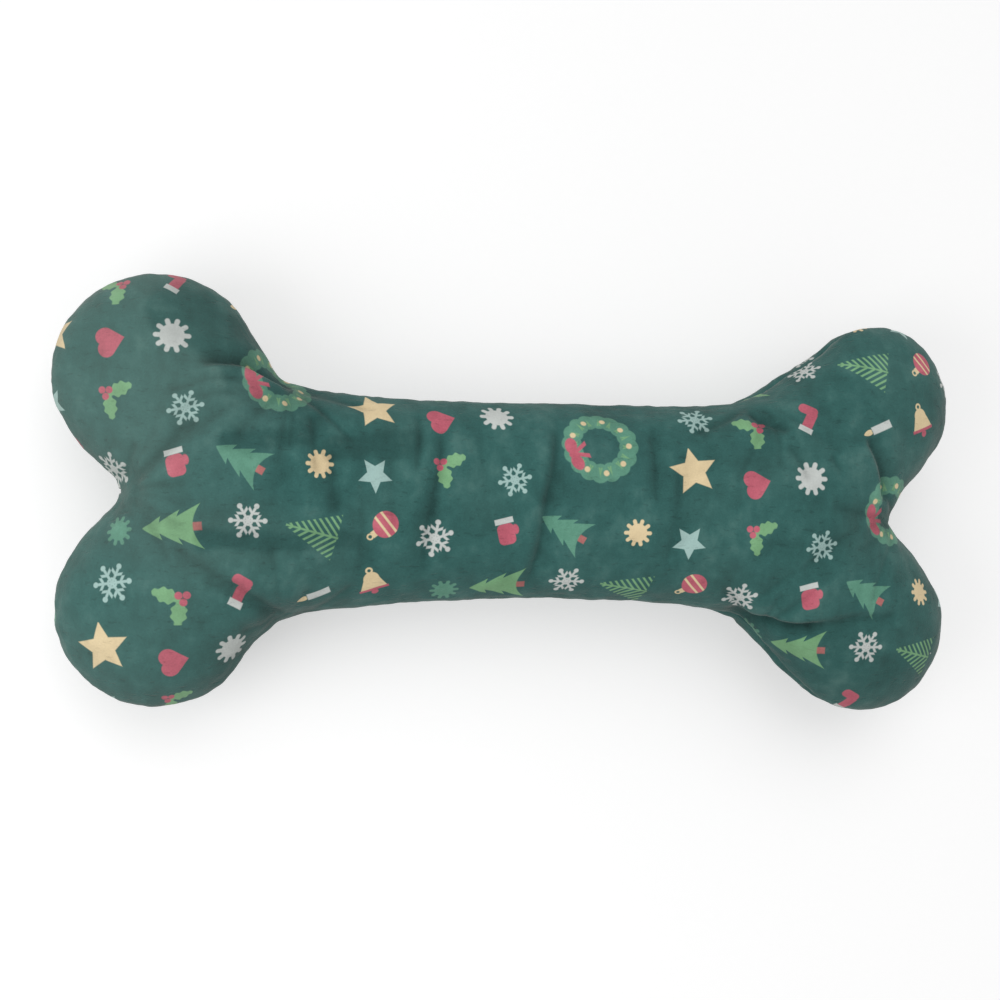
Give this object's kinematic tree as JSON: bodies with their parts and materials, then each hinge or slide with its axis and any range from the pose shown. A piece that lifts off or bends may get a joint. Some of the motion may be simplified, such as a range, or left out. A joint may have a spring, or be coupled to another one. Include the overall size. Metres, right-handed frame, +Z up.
{
  "type": "plush dog toy",
  "caption": "Bone-shaped stuffed plush dog toy with a knobbed pair of lobes at each end, a seam round its edge and a squeaker inside.",
  "frame": {"origin": "middle of the bounding box in plan, on the floor the toy rests on", "axes": "+X along the shank towards the slimmer end, +Y across the shank in the plane of the seam, +Z up, out of the front panel"},
  "size_m": [0.3046, 0.1398, 0.0565],
  "materials": {
    "plush_front": "short-pile printed plush",
    "plush_back": "short-pile printed plush",
    "seam_thread": "spun polyester sewing thread",
    "closing_thread": "spun polyester sewing thread",
    "fibre_fill": "loose white polyester fibre",
    "squeaker_bulb": "soft moulded vinyl",
    "squeaker_valve": "moulded plastic",
    "squeaker_reed": "thin plastic film"
  },
  "bodies": {
    "root": {"cover_front_panel": "plush_front", "cover_back_panel": "plush_back", "seam_needle_thread": "seam_thread", "seam_bobbin_thread": "seam_thread", "closing_thread": "closing_thread", "fill_upper_left_knob": "fibre_fill", "fill_upper_right_knob": "fibre_fill", "fill_lower_right_knob": "fibre_fill", "fill_lower_left_knob": "fibre_fill", "fill_shank_front": "fibre_fill", "fill_shank_back": "fibre_fill", "squeaker_bulb": "squeaker_bulb", "squeaker_sleeve": "squeaker_valve", "squeaker_reed_seat": "squeaker_valve", "squeaker_reed": "squeaker_reed", "squeaker_reed_clamp": "squeaker_valve"}
  },
  "joints": []
}
